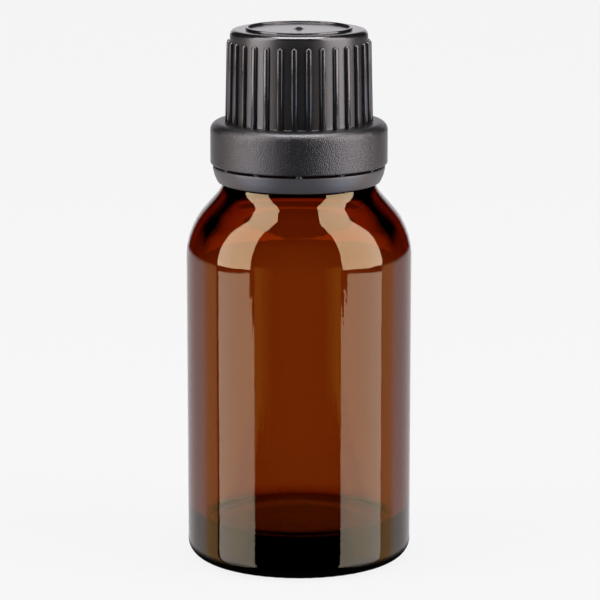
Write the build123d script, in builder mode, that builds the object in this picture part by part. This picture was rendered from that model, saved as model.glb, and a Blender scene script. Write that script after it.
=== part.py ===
from build123d import *
from math import cos, radians, tan
import os

# Amber glass dropper bottle with a ribbed screw cap, a tamper band and a drip insert.
# Millimetres, +Z up, origin at the centre of the base on the surface it stands on.

# Glass body
body_diameter = 31.0
glass_height = 66.0
wall = 2.2
base_thickness = 4.1
punt_height = 0.9
bearing_width = 2.4
heel_radius = 2.2
shoulder_radius = 9.0
shoulder_angle = 41.0
shoulder_thickness = 2.7
inside_corner_radius = 2.0
inside_neck_radius = 3.0

# Glass neck finish, set down from the lip
neck_height = 13.82
neck_root_step = 2.45
neck_root_radius = 4.0
neck_diameter = 15.5
neck_wall = 1.85
lip_radius = 0.6
lip_inner_radius = 0.3
bead_reach = 2.4
bead_height = 1.2
bead_depth = 9.7
bead_radius = 0.35
groove_reach = 1.55
groove_height = 1.25

# Screw thread
thread_pitch = 3.0
thread_turns = 1.5
thread_depth = 0.85
thread_root_width = 1.4
thread_crest_width = 0.6
thread_lip_gap = 2.9
thread_clearance = 0.12
thread_root_overlap = 0.2

# Drip insert
flange_thickness = 1.0
flange_inset = 0.35
plug_length = 8.0
plug_wall = 0.9
plug_clearance = 0.1
plug_lead_in = 0.4
seal_bead_radius = 0.25
seal_bead_squeeze = 0.03
seal_bead_pitch = 1.8
seal_bead_count = 3
nozzle_height = 4.7
nozzle_foot_diameter = 4.6
nozzle_tip_diameter = 3.4
nozzle_tip_radius = 0.25
nozzle_fillet = 0.6
drip_hole_diameter = 0.9
drip_cup_diameter = 2.2
drip_cup_depth = 0.6
air_tube_gap = 0.45
air_tube_diameter = 1.9
air_tube_bore = 0.8
air_tube_length = 12.0

# Screw cap
cap_thread_depth = 0.65
cap_thread_turns = 1.25
skirt_top_wall = 0.65
skirt_foot_wall = 0.91
crown_thickness = 1.1
crown_gap = 0.7
crown_radius = 0.7
rim_width = 2.07
disc_height = 0.3
disc_lip_width = 0.4
disc_recess = 0.3
disc_edge_radius = 0.12
rib_count = 31
rib_width = 0.8
rib_reach = 0.48
rib_edge_radius = 0.3
rib_root_overlap = 0.3
rib_crown_gap = 1.5
rib_turn = 10.7
skirt_bead_gap = 0.3
seal_ring_inset = 0.2
seal_ring_wall = 1.0
seal_ring_gap = 0.05
seal_pin_gap = 0.2

# Collar of the cap
collar_height = 5.75
collar_wall = 1.38
collar_roof = 1.25
collar_bead_gap = 0.6
collar_radius = 1.2
collar_foot_radius = 0.25

# Tamper band
band_height = 2.2
band_bead_gap = 0.6
band_wall = 1.05
band_foot_reach = 0.1
band_foot_width = 0.3
band_curve_radius = 4.4
band_lip_height = 0.75
band_lip_lift = 0.2
band_lip_gap = 0.35
band_bead_drop = 0.25
bridge_count = 12
bridge_width = 0.8
bridge_depth = 0.5
break_gap = 0.35
bridge_gap = 0.04

# Radii and heights of the glass
body_radius = body_diameter / 2
inner_radius = body_radius - wall
inner_floor = punt_height + base_thickness
foot_inner_radius = body_radius - heel_radius - bearing_width
neck_radius = neck_diameter / 2
neck_base_radius = neck_radius + neck_root_step
bore_radius = neck_radius - neck_wall
bead_outer_radius = neck_radius + bead_reach
shoulder_slope = tan(radians(shoulder_angle))
shoulder_wall = shoulder_thickness / cos(radians(shoulder_angle))
shoulder_top = glass_height - neck_height
shoulder_base = shoulder_top - (body_radius - neck_base_radius) / shoulder_slope
inner_cone_top = shoulder_top - (bore_radius - neck_base_radius + shoulder_wall) / shoulder_slope
inner_cone_base = inner_cone_top - (inner_radius - bore_radius) / shoulder_slope
bead_top = glass_height - bead_depth
bead_bottom = bead_top - bead_height
groove_radius = neck_radius + groove_reach
groove_bottom = bead_bottom - groove_height

# Both threads follow one helix, the cap's half a pitch under the glass's
thread_radius = neck_radius + thread_depth
thread_start = glass_height - thread_lip_gap - thread_turns * thread_pitch
cap_bore_radius = thread_radius + thread_clearance
skirt_foot = bead_top + skirt_bead_gap
cap_thread_start = skirt_foot + thread_root_width / 2 + thread_clearance
cap_thread_turn = 360 * (cap_thread_start - thread_start + thread_pitch / 2) / thread_pitch

# Radii and heights of the insert
flange_radius = neck_radius - flange_inset
flange_top = glass_height + flange_thickness
plug_radius = bore_radius - plug_clearance
plug_inner_radius = plug_radius - plug_wall
plug_foot = glass_height - plug_length
air_tube_offset = plug_inner_radius - air_tube_diameter / 2 - air_tube_gap
nozzle_top = flange_top + nozzle_height
drip_cup_floor = nozzle_top - drip_cup_depth

# Radii and heights of the cap and the band
ceiling = nozzle_top + crown_gap
crown_top = ceiling + crown_thickness
skirt_top_radius = cap_bore_radius + skirt_top_wall
skirt_foot_radius = cap_bore_radius + skirt_foot_wall
disc_radius = skirt_top_radius - rim_width
disc_top = crown_top + disc_height
disc_floor = disc_top - disc_recess
disc_floor_radius = disc_radius - disc_lip_width
seal_ring_radius = flange_radius - seal_ring_inset
seal_pin_radius = drip_hole_diameter / 2
seal_pin_foot = drip_cup_floor + seal_pin_gap
band_top = bead_bottom - band_bead_drop
collar_foot = band_top + break_gap
collar_top = collar_foot + collar_height
collar_inner_radius = bead_outer_radius + collar_bead_gap
collar_outer_radius = collar_inner_radius + collar_wall
rib_top = crown_top - rib_crown_gap
band_foot = band_top - band_height
band_inner_radius = bead_outer_radius + band_bead_gap
band_outer_radius = band_inner_radius + band_wall
band_lip_foot = groove_bottom + band_lip_lift
band_lip_top = band_lip_foot + band_lip_height
band_lip_radius = groove_radius + band_lip_gap
band_foot_inner_radius = band_inner_radius + band_foot_reach
band_foot_outer_radius = band_foot_inner_radius + band_foot_width

os.makedirs("parts", exist_ok=True)

# Amber glass bottle
with BuildPart() as glass_bottle:
    with BuildSketch(Plane.XZ):
        with BuildLine():
            TangentArc((0, punt_height), (foot_inner_radius, 0), tangent=(1, 0))
            FilletPolyline(
                (foot_inner_radius, 0),
                (body_radius, 0),
                (body_radius, shoulder_base),
                (neck_base_radius, shoulder_top),
                (neck_base_radius, groove_bottom),
                (groove_radius, groove_bottom),
                (groove_radius, bead_bottom),
                (bead_outer_radius, bead_bottom),
                (bead_outer_radius, bead_top),
                (neck_radius, bead_top),
                (neck_radius, glass_height),
                (bore_radius, glass_height),
                (bore_radius, inner_cone_top),
                (inner_radius, inner_cone_base),
                (inner_radius, inner_floor),
                (0, inner_floor),
                radius=(
                    heel_radius,
                    shoulder_radius,
                    neck_root_radius,
                    0,
                    0,
                    0,
                    bead_radius,
                    bead_radius,
                    bead_radius,
                    lip_radius,
                    lip_inner_radius,
                    inside_neck_radius,
                    shoulder_radius - wall,
                    inside_corner_radius,
                ),
            )
            Line((0, inner_floor), (0, punt_height))
        make_face()
    revolve(axis=Axis.Z)
    with BuildLine() as glass_helix:
        Helix(thread_pitch, thread_turns * thread_pitch, neck_radius, center=(0, 0, thread_start))
    helix_start = glass_helix.line @ 0
    with BuildSketch(Plane(helix_start, x_dir=(1, 0, 0), z_dir=glass_helix.line % 0)):
        with BuildLine():
            Polyline(
                (-thread_root_overlap, -thread_root_width / 2),
                (0, -thread_root_width / 2),
                (thread_depth, -thread_crest_width / 2),
                (thread_depth, thread_crest_width / 2),
                (0, thread_root_width / 2),
                (-thread_root_overlap, thread_root_width / 2),
                close=True,
            )
        make_face()
    sweep(path=glass_helix.line, is_frenet=True)
glass_bottle.part.label = "glass_bottle"
export_step(glass_bottle.part, "parts/glass_bottle.step")

# Drip insert: a plug with seal beads, a flange on the lip, a drip nozzle and an air tube
with BuildPart() as dropper_insert:
    with BuildSketch(Plane.XZ):
        with BuildLine():
            FilletPolyline(
                (0, glass_height),
                (plug_inner_radius, glass_height),
                (plug_inner_radius, plug_foot),
                (plug_radius - plug_lead_in, plug_foot),
                (plug_radius, plug_foot + plug_lead_in),
                (plug_radius, glass_height),
                (flange_radius, glass_height),
                (flange_radius, flange_top),
                (nozzle_foot_diameter / 2, flange_top),
                (nozzle_tip_diameter / 2, nozzle_top),
                (drip_cup_diameter / 2, nozzle_top),
                (drip_hole_diameter / 2, drip_cup_floor),
                (0, drip_cup_floor),
                radius=(0, 0, 0, 0, 0, 0, 0, nozzle_fillet, nozzle_tip_radius, 0, 0),
            )
            Line((0, drip_cup_floor), (0, glass_height))
        make_face()
    revolve(axis=Axis.Z)
    with BuildSketch(Plane.XZ):
        for bead in range(seal_bead_count):
            bead_level = plug_foot + (bead + 1) * seal_bead_pitch
            with Locations((bore_radius + seal_bead_squeeze - seal_bead_radius, bead_level)):
                Circle(seal_bead_radius)
    revolve(axis=Axis.Z)
    with BuildSketch(Plane.XY.offset(glass_height - air_tube_length)):
        with Locations((air_tube_offset, 0)):
            Circle(air_tube_diameter / 2)
    extrude(amount=air_tube_length)
    with BuildSketch(Plane.XY.offset(glass_height - air_tube_length)):
        with Locations((air_tube_offset, 0)):
            Circle(air_tube_bore / 2)
        Circle(drip_hole_diameter / 2)
    extrude(amount=air_tube_length + flange_thickness + nozzle_height, mode=Mode.SUBTRACT)
dropper_insert.part.label = "dropper_insert"
export_step(dropper_insert.part, "parts/dropper_insert.step")

# One grip rib: a bar with a round top and soft edges, leaning with the tapered skirt
with BuildPart() as grip_rib:
    with BuildLine() as rib_line:
        Line((skirt_foot_radius, 0, collar_top - collar_roof / 2), (skirt_top_radius, 0, rib_top - rib_width / 2))
    rib_length = rib_line.edge().length
    rib_face = Plane(rib_line.line @ 0, x_dir=(0, 1, 0), z_dir=Vector(0, 1, 0).cross(rib_line.line % 0))
    with BuildSketch(rib_face.offset(-rib_root_overlap)):
        Rectangle(rib_width, rib_length, align=(Align.CENTER, Align.MIN))
        with Locations((0, rib_length)):
            Circle(rib_width / 2)
    extrude(amount=rib_root_overlap + rib_reach)
    fillet(grip_rib.faces().sort_by(Axis.X)[-1].edges(), rib_edge_radius)

# One inward thread ridge for the cap
with BuildPart() as cap_thread:
    with BuildLine() as cap_helix:
        Helix(
            thread_pitch,
            cap_thread_turns * thread_pitch,
            cap_bore_radius,
            center=(0, 0, cap_thread_start),
        )
    with BuildSketch(Plane(cap_helix.line @ 0, x_dir=(1, 0, 0), z_dir=cap_helix.line % 0)):
        with BuildLine():
            Polyline(
                (thread_root_overlap, -thread_root_width / 2),
                (0, -thread_root_width / 2),
                (-cap_thread_depth, -thread_crest_width / 2),
                (-cap_thread_depth, thread_crest_width / 2),
                (0, thread_root_width / 2),
                (thread_root_overlap, thread_root_width / 2),
                close=True,
            )
        make_face()
    sweep(path=cap_helix.line, is_frenet=True)

# Screw cap: ribbed skirt, crown with a raised disc, and a wide collar over the bead
with BuildPart() as screw_cap:
    with BuildSketch(Plane.XZ):
        with BuildLine():
            FilletPolyline(
                (0, disc_floor),
                (disc_floor_radius, disc_floor),
                (disc_floor_radius, disc_top),
                (disc_radius, disc_top),
                (disc_radius, crown_top),
                (skirt_top_radius, crown_top),
                (skirt_foot_radius, collar_top),
                (collar_outer_radius, collar_top),
                (collar_outer_radius, collar_foot),
                (collar_inner_radius, collar_foot),
                (collar_inner_radius, collar_top - collar_roof),
                (skirt_foot_radius, collar_top - collar_roof),
                (skirt_foot_radius, skirt_foot),
                (cap_bore_radius, skirt_foot),
                (cap_bore_radius, ceiling),
                (seal_ring_radius, ceiling),
                (seal_ring_radius, flange_top + seal_ring_gap),
                (seal_ring_radius - seal_ring_wall, flange_top + seal_ring_gap),
                (seal_ring_radius - seal_ring_wall, ceiling),
                (seal_pin_radius, ceiling),
                (seal_pin_radius, seal_pin_foot),
                (0, seal_pin_foot),
                radius=(
                    0,
                    disc_edge_radius,
                    disc_edge_radius,
                    0,
                    crown_radius,
                    0,
                    collar_radius,
                    collar_foot_radius,
                    0,
                    0,
                    0,
                    0,
                    0,
                    0,
                    0,
                    0,
                    0,
                    0,
                    0,
                    0,
                ),
            )
            Line((0, seal_pin_foot), (0, disc_floor))
        make_face()
    revolve(axis=Axis.Z)
    with PolarLocations(0, rib_count, start_angle=rib_turn):
        add(grip_rib.part)
    add(cap_thread.part, rotation=(0, 0, cap_thread_turn))
screw_cap.part.label = "screw_cap"
export_step(screw_cap.part, "parts/screw_cap.step")

# Tamper band: its lip sits in the groove under the glass bead
with BuildPart() as tamper_band:
    with BuildSketch(Plane.XZ):
        with BuildLine():
            Polyline(
                (band_outer_radius, band_top),
                (band_inner_radius, band_top),
                (band_inner_radius, band_lip_top),
                (band_lip_radius, band_lip_top),
                (band_lip_radius, band_lip_foot),
                (band_inner_radius, band_lip_foot),
                (band_foot_inner_radius, band_foot),
                (band_foot_outer_radius, band_foot),
            )
            RadiusArc(
                (band_foot_outer_radius, band_foot),
                (band_outer_radius, band_top),
                -band_curve_radius,
            )
        make_face()
    revolve(axis=Axis.Z)
    with BuildSketch(Plane.XY.offset(band_top)):
        with PolarLocations(band_outer_radius - band_wall / 2, bridge_count):
            Rectangle(bridge_depth, bridge_width)
    extrude(amount=break_gap - bridge_gap)
tamper_band.part.label = "tamper_band"
export_step(tamper_band.part, "parts/tamper_band.step")
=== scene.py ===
import math
import bmesh
import bpy
from mathutils import Matrix, Vector


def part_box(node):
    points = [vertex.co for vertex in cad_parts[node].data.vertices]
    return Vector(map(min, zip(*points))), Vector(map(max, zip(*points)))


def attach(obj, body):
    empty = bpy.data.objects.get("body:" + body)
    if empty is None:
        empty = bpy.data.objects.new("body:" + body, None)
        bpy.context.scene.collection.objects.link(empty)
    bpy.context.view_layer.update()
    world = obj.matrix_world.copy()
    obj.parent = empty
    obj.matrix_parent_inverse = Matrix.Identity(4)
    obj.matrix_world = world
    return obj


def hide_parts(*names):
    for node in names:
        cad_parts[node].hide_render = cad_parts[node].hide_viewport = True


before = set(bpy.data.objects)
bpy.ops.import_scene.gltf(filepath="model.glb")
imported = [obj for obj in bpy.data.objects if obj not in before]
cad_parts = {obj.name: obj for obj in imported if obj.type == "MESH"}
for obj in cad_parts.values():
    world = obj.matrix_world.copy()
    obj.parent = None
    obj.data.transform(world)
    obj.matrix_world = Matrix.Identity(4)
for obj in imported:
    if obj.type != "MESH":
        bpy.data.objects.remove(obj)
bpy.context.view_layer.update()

# The bottle is one piece of amber soda-lime glass, blown and pressed in an iron mould:
# a thick base with a punt and a knurled bearing ring, even walls, a sloping shoulder,
# and a screw neck with a bead for the tamper band.
body_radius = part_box("glass_bottle")[1].x
glass_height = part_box("glass_bottle")[1].z
wall = 0.0022
punt_height = 0.0009
punt_radius = 0.0105
inner_floor = 0.005
shoulder_base = 0.04608
shoulder_top = 0.05218
neck_base_radius = 0.0102
neck_radius = 0.00775
bore_radius = 0.0059
inner_cone_base = 0.0445
inner_cone_top = 0.05301
groove_bottom = 0.05385
groove_radius = 0.0093
bead_bottom = 0.0551
bead_top = 0.0563
bead_radius = 0.01015
thread_pitch = 0.003
thread_turns = 1.5
thread_depth = 0.00085
thread_start = 0.0586
thread_half_width = 0.00075
thread_run_out = 0.12
glass_steps = 192
knurl_count = 56
knurl_depth = 0.00012
knurl_outer_radius = 0.0145


def rounded_wire(bm, corners, step=math.radians(9)):
    """Draws straight lines in the XZ plane and rounds their corners: each is radius, height, rounding."""
    points = [Vector((radius, 0, height)) for radius, height, rounding in corners]
    verts = [bm.verts.new(point) for point in points]
    for start, end in zip(verts, verts[1:]):
        bm.edges.new((start, end))
    for number in range(1, len(corners) - 1):
        rounding = corners[number][2]
        turn = (points[number] - points[number - 1]).angle(points[number + 1] - points[number])
        if rounding:
            bmesh.ops.bevel(
                bm,
                geom=[verts[number]],
                offset=rounding * math.tan(turn / 2),
                segments=max(2, round(turn / step)),
                profile=0.5,
                material=-1,
                affect="VERTICES",
            )


def turn_round(bm, steps):
    """Spins a wire once round the Z axis and closes the seam and the poles."""
    geometry = bm.verts[:] + bm.edges[:]
    bmesh.ops.spin(
        bm,
        geom=geometry,
        cent=(0, 0, 0),
        axis=(0, 0, 1),
        dvec=(0, 0, 0),
        angle=math.tau,
        steps=steps,
        use_merge=True,
        use_duplicate=False,
    )
    bmesh.ops.remove_doubles(bm, verts=bm.verts, dist=1e-6)
    bmesh.ops.recalc_face_normals(bm, faces=bm.faces)


def split_run(bm, radius, low, high, length):
    """Cuts the upright run of a wire at one radius, between two heights, into short lengths."""
    for edge in bm.edges[:]:
        heights = sorted(vert.co.z for vert in edge.verts)
        upright = all(abs(vert.co.x - radius) < 1e-6 for vert in edge.verts)
        if upright and heights[0] < high and heights[1] > low and edge.calc_length() > 2 * length:
            cuts = int(edge.calc_length() / length)
            bmesh.ops.subdivide_edges(bm, edges=[edge], cuts=cuts)


def split_long(bm, length):
    """Cuts every long straight line of a wire, so that smooth shading bends only at the ends of a wall."""
    for edge in bm.edges[:]:
        cuts = int(edge.calc_length() / length)
        if cuts:
            bmesh.ops.subdivide_edges(bm, edges=[edge], cuts=cuts)


def finish_mesh(bm, name, smooth=True):
    """Makes the object from its bmesh, smooth shaded."""
    mesh = bpy.data.meshes.new(name)
    bm.to_mesh(mesh)
    bm.free()
    mesh.polygons.foreach_set("use_smooth", [smooth] * len(mesh.polygons))
    piece = bpy.data.objects.new(name, mesh)
    bpy.context.scene.collection.objects.link(piece)
    return piece


def fade(x):
    """A smooth step from 0 to 1."""
    x = min(1, max(0, x))
    return x * x * (3 - 2 * x)


glass = bmesh.new()
rounded_wire(
    glass,
    [
        (0, punt_height, 0),
        (0.004, punt_height, 0.03),
        (punt_radius, 0, 0.0006),
        (body_radius, 0, 0.0022),
        (body_radius, shoulder_base, 0.009),
        (neck_base_radius, shoulder_top, 0.004),
        (neck_base_radius, groove_bottom, 0.0001),
        (groove_radius, groove_bottom, 0.0002),
        (groove_radius, bead_bottom, 0.0002),
        (bead_radius, bead_bottom, 0.00035),
        (bead_radius, bead_top, 0.00035),
        (neck_radius, bead_top, 0.00035),
        (neck_radius, glass_height, 0.0006),
        (bore_radius, glass_height, 0.0003),
        (bore_radius, inner_cone_top, 0.003),
        (body_radius - wall, inner_cone_base, 0.0068),
        (body_radius - wall, inner_floor, 0.002),
        (0, inner_floor, 0),
    ],
)
split_run(glass, neck_radius, bead_top, glass_height, 0.00012)
split_long(glass, 0.0008)
turn_round(glass, glass_steps)
for vert in glass.verts:
    angle = math.atan2(vert.co.y, vert.co.x) % math.tau
    radius = math.hypot(vert.co.x, vert.co.y)
    if abs(radius - neck_radius) < 1e-6 and vert.co.z > bead_top + 0.0003:
        for turn in range(math.ceil(thread_turns)):
            along = angle / math.tau + turn
            away = abs(vert.co.z - thread_start - along * thread_pitch) / thread_half_width
            ends = fade(along / thread_run_out) * fade((thread_turns - along) / thread_run_out)
            rise = thread_depth * ends * fade(1.6 * (1 - away))
            vert.co.x += rise * math.cos(angle)
            vert.co.y += rise * math.sin(angle)
    if vert.co.z < 0.0012 and radius > punt_radius:
        groove = 0.5 - 0.5 * math.cos(knurl_count * angle)
        ring = fade((radius - punt_radius) / 0.0012) * fade((knurl_outer_radius - radius) / 0.0015)
        vert.co.z += knurl_depth * groove * ring
bottle = finish_mesh(glass, "amber_bottle")


class Socket:
    """A shader socket that takes part in sums: an expression on sockets adds its Math nodes."""

    def __init__(self, shop, link):
        self.shop = shop
        self.link = link

    def math(self, operation, *values):
        return self.shop.node("ShaderNodeMath", {"operation": operation}, dict(enumerate(values)))

    def __add__(self, other):
        return self.math("ADD", self, other)

    def __sub__(self, other):
        return self.math("SUBTRACT", self, other)

    def __rsub__(self, other):
        return self.math("SUBTRACT", other, self)

    def __mul__(self, other):
        return self.math("MULTIPLY", self, other)

    def __truediv__(self, other):
        return self.math("DIVIDE", self, other)

    __radd__ = __add__
    __rmul__ = __mul__

    def above(self, edge, width):
        """0 under edge, 1 over edge plus width."""
        return self.shop.node(
            "ShaderNodeMapRange",
            {"interpolation_type": "SMOOTHSTEP"},
            {"Value": self, "From Min": edge, "From Max": edge + width},
        )


class Finish:
    """One material and its nodes."""

    def __init__(self, name):
        self.material = bpy.data.materials.new(name)
        self.material.use_nodes = True
        self.tree = self.material.node_tree
        self.tree.nodes.clear()

    def node(self, kind, settings=None, inputs=None, output=0):
        """Adds a node: its settings first, then the values or links of its sockets."""
        made = self.tree.nodes.new(kind)
        for key, value in (settings or {}).items():
            if key == "stops":
                ramp = made.color_ramp.elements
                while len(ramp) < len(value):
                    ramp.new(1)
                for stop, (position, colour) in zip(ramp, value):
                    stop.position = position
                    stop.color = colour
            else:
                setattr(made, key, value)
        for key, value in (inputs or {}).items():
            if isinstance(value, Socket):
                self.tree.links.new(value.link, made.inputs[key])
            else:
                made.inputs[key].default_value = value
        return Socket(self, made.outputs[output])

    def place(self, output="Object"):
        return self.node("ShaderNodeTexCoord", output=output)

    def noise(self, scale, detail=2.0, stretch=(1, 1, 1)):
        """Soft noise on the object's own coordinates; scale is bumps per metre."""
        spread = self.node(
            "ShaderNodeMapping", {"vector_type": "POINT"}, {"Vector": self.place(), "Scale": stretch}
        )
        return self.node(
            "ShaderNodeTexNoise", {}, {"Vector": spread, "Scale": scale, "Detail": detail}, "Fac"
        )

    def height(self):
        """The height over the surface that the bottle stands on."""
        return self.node("ShaderNodeSeparateXYZ", {}, {"Vector": self.place()}, "Z")

    def radius(self):
        """The distance from the bottle's axis."""
        flat = self.node(
            "ShaderNodeVectorMath", {"operation": "MULTIPLY"}, {0: self.place(), 1: (1, 1, 0)}
        )
        return self.node("ShaderNodeVectorMath", {"operation": "LENGTH"}, {0: flat}, "Value")

    def bump(self, height, depth, strength=1.0):
        return self.node(
            "ShaderNodeBump", {}, {"Height": height, "Distance": depth, "Strength": strength}, "Normal"
        )

    def surface(self, shader, volume=None):
        out = self.tree.nodes.new("ShaderNodeOutputMaterial")
        self.tree.links.new(shader.link, out.inputs["Surface"])
        if volume:
            self.tree.links.new(volume.link, out.inputs["Volume"])
        return self.material


# Amber glass: the colour is in its thickness, so the base goes black and the walls stay clear.
amber = Finish("amber_glass")
orange_peel = amber.noise(700, 1.0)
mould_waves = amber.noise(90, 1.0, (1, 1, 0.35))
glass_normal = amber.bump(mould_waves * 6 + orange_peel, 0.00002, 0.25)
amber_shader = amber.node(
    "ShaderNodeBsdfPrincipled",
    {},
    {
        "Base Color": (1, 1, 1, 1),
        "Roughness": 0.015 + amber.noise(400) * 0.02,
        "IOR": 1.5,
        "Transmission Weight": 1.0,
        "Specular Tint": (1.0, 0.76, 0.45, 1),
        "Normal": glass_normal,
    },
)
amber_depth = amber.node(
    "ShaderNodeVolumeAbsorption", {}, {"Color": (0.731, 0.423, 0.0, 1), "Density": 1500.0}
)
bottle.data.materials.append(amber.surface(amber_shader, amber_depth))
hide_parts("glass_bottle")
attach(bottle, "bottle")

# The drip insert is a press-fit plug of natural polyethylene, waxy and slightly see-through,
# with a drip nozzle, an air tube and seal beads on its shank.
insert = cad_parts["dropper_insert"]
natural = Finish("natural_polyethylene")
haze = natural.noise(500, 3.0)
insert_shader = natural.node(
    "ShaderNodeBsdfPrincipled",
    {},
    {
        "Base Color": natural.node(
            "ShaderNodeMix",
            {"data_type": "RGBA"},
            {0: haze, 6: (0.74, 0.76, 0.74, 1), 7: (0.86, 0.87, 0.84, 1)},
            2,
        ),
        "Roughness": 0.32 + haze * 0.18,
        "Subsurface Weight": 0.35,
        "Subsurface Radius": (0.002, 0.002, 0.002),
        "Subsurface Scale": 0.5,
        "IOR": 1.51,
        "Normal": natural.bump(haze, 0.00002, 0.3),
    },
)
insert.data.materials.clear()
insert.data.materials.append(natural.surface(insert_shader))

# The screw cap is one moulding of black polypropylene: a tapered skirt with grip ribs,
# a crown with a shallow raised dish and the gate mark, and a wide grained collar.
# Inside it has the thread, a seal ring for the insert's flange and a pin for the drip hole.
cap_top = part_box("screw_cap")[1].z
collar_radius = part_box("screw_cap")[1].x
collar_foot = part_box("screw_cap")[0].z
collar_top = collar_foot + 0.00575
collar_wall = 0.00138
collar_roof = 0.00125
crown_top = cap_top - 0.0003
dish_floor = crown_top
dish_radius = 0.0069
dish_lip_radius = 0.0073
gate_height = 0.00028
gate_radius = 0.0007
skirt_foot_radius = 0.00963
skirt_top_radius = 0.00937
skirt_foot = 0.0566
cap_bore = 0.00872
ceiling = 0.0724
seal_ring_radius = 0.0072
seal_ring_wall = 0.001
seal_ring_foot = 0.06705
seal_pin_radius = 0.00045
seal_pin_foot = 0.0713
rib_count = 31
rib_width = 0.0008
rib_reach = 0.00048
rib_edge = 0.0003
rib_root = 0.0003
rib_overlap = 0.0006
rib_top = crown_top - 0.0015
rib_turn = math.radians(10.7)
ridge_turns = 1.25
ridge_depth = 0.00065
ridge_root = cap_bore + 0.0002
ridge_crest = cap_bore - ridge_depth
ridge_root_half = 0.0007
ridge_crest_half = 0.0003
ridge_start = 0.05742
ridge_turn = math.radians(38.4)
ridge_steps = 100
ridge_run_out = 0.1

cap = bmesh.new()
rounded_wire(
    cap,
    [
        (0, dish_floor + gate_height, 0),
        (0.0002, dish_floor + gate_height, 0.0001),
        (gate_radius, dish_floor, 0.0004),
        (dish_radius, dish_floor, 0.00012),
        (dish_radius, cap_top, 0.0001),
        (dish_lip_radius, cap_top, 0.0001),
        (dish_lip_radius, crown_top, 0.0001),
        (skirt_top_radius, crown_top, 0.0007),
        (skirt_foot_radius, collar_top, 0.00015),
        (collar_radius, collar_top, 0.0012),
        (collar_radius, collar_foot, 0.0002),
        (collar_radius - collar_wall, collar_foot, 0.0001),
        (collar_radius - collar_wall, collar_top - collar_roof, 0.0003),
        (skirt_foot_radius, collar_top - collar_roof, 0.0003),
        (skirt_foot_radius, skirt_foot, 0.0001),
        (cap_bore, skirt_foot, 0.0001),
        (cap_bore, ceiling, 0.0004),
        (seal_ring_radius, ceiling, 0.0003),
        (seal_ring_radius, seal_ring_foot, 0.0001),
        (seal_ring_radius - seal_ring_wall, seal_ring_foot, 0.0001),
        (seal_ring_radius - seal_ring_wall, ceiling, 0.0003),
        (seal_pin_radius, ceiling, 0.0002),
        (seal_pin_radius, seal_pin_foot, 0.00015),
        (0, seal_pin_foot, 0),
    ],
    math.radians(12),
)
split_long(cap, 0.0006)
turn_round(cap, 256)

# The ribs: a flat bar with a round top, its outer edges rounded, copied round the skirt.
rib = bmesh.new()
half_round = [math.pi * step / 12 for step in range(13)]
outline = [(rib_width / 2 * math.cos(angle), rib_width / 2 * math.sin(angle)) for angle in half_round]
outline = [(aside, rib_top - rib_width / 2 + up) for aside, up in outline]
outline += [(-rib_width / 2, collar_top - rib_overlap), (rib_width / 2, collar_top - rib_overlap)]
back = rib.faces.new([rib.verts.new((-rib_root, aside, up)) for aside, up in outline])
swept = bmesh.ops.extrude_face_region(rib, geom=[back])["geom"]
front = [item for item in swept if isinstance(item, bmesh.types.BMFace)][0]
bmesh.ops.translate(rib, vec=(rib_root + rib_reach, 0, 0), verts=front.verts)
bmesh.ops.bevel(
    rib, geom=front.edges[:], offset=rib_edge, segments=5, profile=0.5, material=-1, affect="EDGES"
)
for vert in rib.verts:
    climb = (vert.co.z - collar_top) / (rib_top - collar_top)
    vert.co.x += skirt_foot_radius + (skirt_top_radius - skirt_foot_radius) * climb
bmesh.ops.recalc_face_normals(rib, faces=rib.faces)
bmesh.ops.rotate(rib, cent=(0, 0, 0), matrix=Matrix.Rotation(rib_turn, 3, "Z"), verts=rib.verts)
bmesh.ops.spin(
    rib,
    geom=rib.verts[:] + rib.edges[:] + rib.faces[:],
    cent=(0, 0, 0),
    axis=(0, 0, 1),
    dvec=(0, 0, 0),
    angle=math.tau * (rib_count - 1) / rib_count,
    steps=rib_count - 1,
    use_merge=False,
    use_duplicate=True,
)

# The thread ridge inside the skirt, run out at both ends.
ridge = bmesh.new()
section = [(ridge_root, -ridge_root_half), (ridge_crest, -ridge_crest_half)]
section += [(ridge_crest, ridge_crest_half), (ridge_root, ridge_root_half)]
ring = [ridge.verts.new((radius, 0, ridge_start + up)) for radius, up in section]
for start, end in zip(ring, ring[1:] + ring[:1]):
    ridge.edges.new((start, end))
bmesh.ops.contextual_create(ridge, geom=ring)
bmesh.ops.spin(
    ridge,
    geom=ridge.verts[:] + ridge.edges[:] + ridge.faces[:],
    cent=(0, 0, 0),
    axis=(0, 0, 1),
    dvec=(0, 0, ridge_turns * thread_pitch / ridge_steps),
    angle=math.tau * ridge_turns,
    steps=ridge_steps,
    use_merge=False,
    use_duplicate=False,
)
for vert in ridge.verts:
    radius = math.hypot(vert.co.x, vert.co.y)
    angle = math.atan2(vert.co.y, vert.co.x) / math.tau
    along = angle + round((vert.co.z - ridge_start) / thread_pitch - angle)
    if radius < cap_bore:
        ends = fade(along / ridge_run_out) * fade((ridge_turns - along) / ridge_run_out)
        scale = (cap_bore - ridge_depth * ends) / radius
        vert.co.x *= scale
        vert.co.y *= scale
bmesh.ops.recalc_face_normals(ridge, faces=ridge.faces)
bmesh.ops.rotate(ridge, cent=(0, 0, 0), matrix=Matrix.Rotation(ridge_turn, 3, "Z"), verts=ridge.verts)


def take_in(bm, other):
    """Adds another bmesh's shells to this one."""
    loose = bpy.data.meshes.new("loose")
    other.to_mesh(loose)
    other.free()
    bm.from_mesh(loose)
    bpy.data.meshes.remove(loose)


take_in(cap, rib)
take_in(cap, ridge)
screw_cap = finish_mesh(cap, "black_screw_cap")

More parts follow.
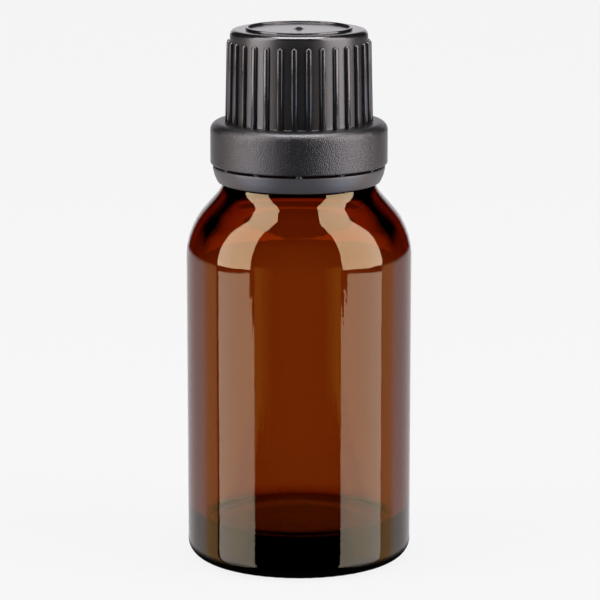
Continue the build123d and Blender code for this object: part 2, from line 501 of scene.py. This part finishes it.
black = Finish("black_cap_plastic")
height = black.height()
on_collar = 1 - height.above(collar_top - 0.0006, 0.0006)
on_ribs = height.above(collar_top, 0.0006) * black.radius().above(skirt_foot_radius + 0.0001, 0.0002)
on_crown = height.above(crown_top - 0.0006, 0.0002)
grain = black.noise(6500, 1.0)
satin = black.noise(1500, 2.0)
cap_shader = black.node(
    "ShaderNodeBsdfPrincipled",
    {},
    {
        "Base Color": black.node(
            "ShaderNodeMix",
            {"data_type": "RGBA"},
            {0: satin, 6: (0.010, 0.010, 0.011, 1), 7: (0.016, 0.016, 0.018, 1)},
            2,
        ),
        "Roughness": 0.31 - on_ribs * 0.22 - on_collar * 0.05 - on_crown * 0.17 + satin * 0.06,
        "IOR": 1.49,
        "Specular Tint": (0.97, 0.92, 1.0, 1),
        "Normal": black.bump(grain * on_collar + satin * 0.1, 0.0001, 0.8),
    },
)
screw_cap.data.materials.append(black.surface(cap_shader))
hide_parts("screw_cap")
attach(screw_cap, "cap")

# The tamper band was moulded with the cap in the same black polypropylene, a little smoother:
# its lip sits under the glass bead, and the stubs of its broken bridges stand on its rim.
band_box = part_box("tamper_band")
band_radius = band_box[1].x
band_foot = band_box[0].z
band_top = 0.05485
band_inner = 0.01075
band_belly = 0.0546
lip_radius = 0.00965
lip_foot = 0.05405
lip_top = 0.0548
foot_inner = 0.01085
foot_outer = 0.01113
curve_radius = 0.01169
curve_height = 0.05365
bridge_count = 12
bridge_inset = 0.000525
bridge_size = (0.0005, 0.0008, 0.00061)

band = bmesh.new()
rounded_wire(
    band,
    [
        (band_radius, band_belly, 0),
        (band_radius, band_top, 0.00012),
        (band_inner, band_top, 0.0001),
        (band_inner, lip_top, 0),
        (lip_radius, lip_top, 0.0001),
        (lip_radius, lip_foot, 0.0001),
        (band_inner, lip_foot, 0.0001),
        (foot_inner, band_foot, 0.00006),
        (foot_outer, band_foot, 0.00012),
        (curve_radius, curve_height, 0.004),
        (band_radius, band_belly, 0),
    ],
    math.radians(12),
)
split_long(band, 0.0004)
turn_round(band, 192)
for bridge in range(bridge_count):
    place = Matrix.Rotation(math.tau * bridge / bridge_count, 4, "Z") @ Matrix.Translation(
        (band_radius - bridge_inset, 0, band_top)
    )
    bmesh.ops.create_cube(band, size=1, matrix=place @ Matrix.Diagonal((*bridge_size, 1)))
tamper_band = finish_mesh(band, "black_tamper_band")

satin_black = Finish("black_band_plastic")
fine = satin_black.noise(2500, 2.0)
band_shader = satin_black.node(
    "ShaderNodeBsdfPrincipled",
    {},
    {
        "Base Color": satin_black.node(
            "ShaderNodeMix",
            {"data_type": "RGBA"},
            {0: fine, 6: (0.044, 0.043, 0.049, 1), 7: (0.055, 0.054, 0.061, 1)},
            2,
        ),
        "Roughness": 0.36 + fine * 0.08,
        "IOR": 1.49,
        "Specular Tint": (0.97, 0.92, 1.0, 1),
        "Normal": satin_black.bump(fine, 0.00001, 0.4),
    },
)
tamper_band.data.materials.append(satin_black.surface(band_shader))
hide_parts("tamper_band")
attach(tamper_band, "band")

# The set: a wide white floor, with the bottle's shadow on it, and a painted contact shade round the
# bottle's foot that only reflections show.
floor_share = 0.85
floor_mesh = bmesh.new()
bmesh.ops.create_grid(floor_mesh, x_segments=1, y_segments=1, size=6.0)
floor = finish_mesh(floor_mesh, "floor", smooth=False)
paper = Finish("white_floor")
path = paper.node("ShaderNodeLightPath", output="Is Camera Ray")
glossy = paper.node("ShaderNodeLightPath", output="Is Glossy Ray")
through = paper.node("ShaderNodeLightPath", output="Is Transmission Ray")
clear_of_foot = paper.radius().above(body_radius, 0.004)
lit = paper.node("ShaderNodeBsdfDiffuse", {}, {"Color": (0.8, 0.8, 0.8, 1)})
white = paper.node("ShaderNodeEmission", {}, {"Color": (1, 1, 1, 1), "Strength": 1.0})
seen = paper.node(
    "ShaderNodeMixShader",
    {},
    {0: (path + through * clear_of_foot) * floor_share, 1: lit, 2: white},
)
# Painted contact shade: glossy rays that meet the floor near the foot see a flat dark grey instead of the
# lit floor; further out they pass through.
shade = paper.node("ShaderNodeBsdfDiffuse", {}, {"Color": (0.03, 0.03, 0.03, 1)})
open_air = paper.node("ShaderNodeBsdfTransparent")
mirrored_floor = paper.node("ShaderNodeMixShader", {}, {0: clear_of_foot, 1: shade, 2: open_air})
floor.data.materials.append(
    paper.surface(
        paper.node("ShaderNodeMixShader", {}, {0: glossy * (1 - through), 1: seen, 2: mirrored_floor})
    )
)

# Studio light: a white backdrop behind, a dim room in front, and a soft box on each side
# with its mirror image in the table.
world = bpy.data.worlds.new("studio")
bpy.context.scene.world = world


class Backdrop(Finish):
    """The world's nodes."""

    def __init__(self, world):
        world.use_nodes = True
        self.tree = world.node_tree
        self.tree.nodes.clear()


room = Backdrop(world)
heading = room.node("ShaderNodeSeparateXYZ", {}, {"Vector": room.place("Generated")}, "Y")
lift = room.node("ShaderNodeSeparateXYZ", {}, {"Vector": room.place("Generated")}, "Z")
is_camera = room.node("ShaderNodeLightPath", output="Is Camera Ray")
is_through = room.node("ShaderNodeLightPath", output="Is Transmission Ray")
is_mirrored = room.node("ShaderNodeLightPath", output="Is Glossy Ray")
ambient = 0.45
table = (1 - lift.above(-0.15, 0.06)) * (heading.above(0.02, 0.06) * 1.5 - heading.above(0.1, 0.6) * 0.7)
screen = heading.above(0.88, 0.08) * (1 - lift.above(0.3, 0.15))
mirror_level = table.math("MAXIMUM", table, screen)
through_level = 1 - lift.above(0.1, 0.2)
diffuse = room.node("ShaderNodeLightPath", output="Is Diffuse Ray")
level = is_camera + is_through * through_level + diffuse * ambient
light = room.node("ShaderNodeBackground", {}, {"Color": (1, 1, 1, 1), "Strength": level})
table_colour = room.node(
    "ShaderNodeMix",
    {"data_type": "RGBA"},
    {0: heading.above(0.25, 0.25), 6: (1.0, 0.62, 0.3, 1), 7: (1.0, 0.96, 1.0, 1)},
    2,
)
mirrored = room.node(
    "ShaderNodeBackground", {}, {"Color": table_colour, "Strength": is_mirrored * mirror_level}
)
both = room.node("ShaderNodeAddShader", {}, {0: light, 1: mirrored})
world_out = room.tree.nodes.new("ShaderNodeOutputWorld")
room.tree.links.new(both.link, world_out.inputs["Surface"])


def soft_box(name, low, high, radiance, colour=(1, 1, 1), shown="gloss"):
    """A flat rectangular soft box between two corners, facing the bottle."""
    low, high = Vector(low), Vector(high)
    middle = (low + high) / 2
    spread = high - low
    data = bpy.data.lights.new(name, "AREA")
    data.shape = "RECTANGLE"
    data.size = spread.y
    data.size_y = spread.z if spread.z else spread.x
    data.energy = radiance * math.pi * data.size * data.size_y
    data.color = colour
    lamp = bpy.data.objects.new(name, data)
    lamp.rotation_euler = (0, 0, math.pi / 2)
    if spread.z:
        lamp.rotation_euler = Vector((-middle.x, 0, 0)).to_track_quat("-Z", "Y").to_euler()
    lamp.location = middle
    lamp.visible_camera = False
    lamp.visible_transmission = False
    lamp.visible_diffuse = shown == "light"
    lamp.visible_glossy = shown == "gloss"
    bpy.context.scene.collection.objects.link(lamp)
    return lamp


# Each side has a bright soft box and a fill lamp behind it. Under them stand the lamps of its mirror
# image in the table, which ends lower and further front in steps, and the warm cards that fade it out.
side = 0.35
for name, x, front, back, table_fronts in (
    ("left", -side, -0.303, -0.009, (-0.289, -0.317, -0.345)),
    ("right", side, -0.366, 0.008, (-0.300, -0.340, -0.380)),
):
    soft_box(name + "_soft_box", (x, front, 0.008), (x, back, 1.2), 9.0, (1.0, 0.95, 0.9))
    soft_box(name + "_fill", (1.05 * x, front, 0.05), (1.05 * x, back, 0.7), 1.5, shown="light")
    top = -0.018
    for glow, (table_front, foot) in enumerate(zip(table_fronts, (-0.055, -0.067, -0.085))):
        soft_box(f"{name}_table_{glow}", (x, table_front, foot), (x, back, top), 3.9)
        top = foot
    soft_box(name + "_middle_glow", (x, table_front, -0.115), (x, back, top), 3.6, (0.95, 1.0, 1.12))
    soft_box(name + "_near_glow", (x, table_front, -0.35), (x, back, -0.115), 3.3, (0.9, 1.0, 1.25))
    edge = table_front - 0.003
    for card, (width, foot, share) in enumerate(
        ((0.1, -0.11, 0.9), (0.1, -0.125, 0.5), (0.12, -0.15, 0.22))
    ):
        soft_box(f"{name}_card_{card}", (x, edge - width, foot), (x, edge, 0.04), share, (1.0, 0.66, 0.1))
        edge -= width
soft_box("overhead", (-0.15, -0.1, 0.5), (0.15, 0.2, 0.5), 18.0)
table_bounce = soft_box("table_bounce", (-0.2, -0.2, 0.0005), (0.2, 0.2, 0.0005), 1.0, shown="light")
table_bounce.rotation_euler = (math.pi, 0, 0)

# The camera stands about 0.42 m away and looks down at the bottle, with a long lens.
camera_distance = 0.42
camera_height = 0.12355
look_down = 0.2057
focal_pixels = 3105.3
picture_pixels = 600
sensor_width = 0.036
camera_data = bpy.data.cameras.new("camera")
camera_data.sensor_width = sensor_width * 1000
camera_data.lens = focal_pixels / picture_pixels * sensor_width * 1000
camera_data.shift_x = 1 / picture_pixels
camera = bpy.data.objects.new("camera", camera_data)
camera.location = (0, -camera_distance, camera_height)
camera.rotation_euler = (math.pi / 2 - look_down, 0, 0)
bpy.context.scene.collection.objects.link(camera)
bpy.context.scene.camera = camera
bpy.context.scene.view_settings.view_transform = "Standard"
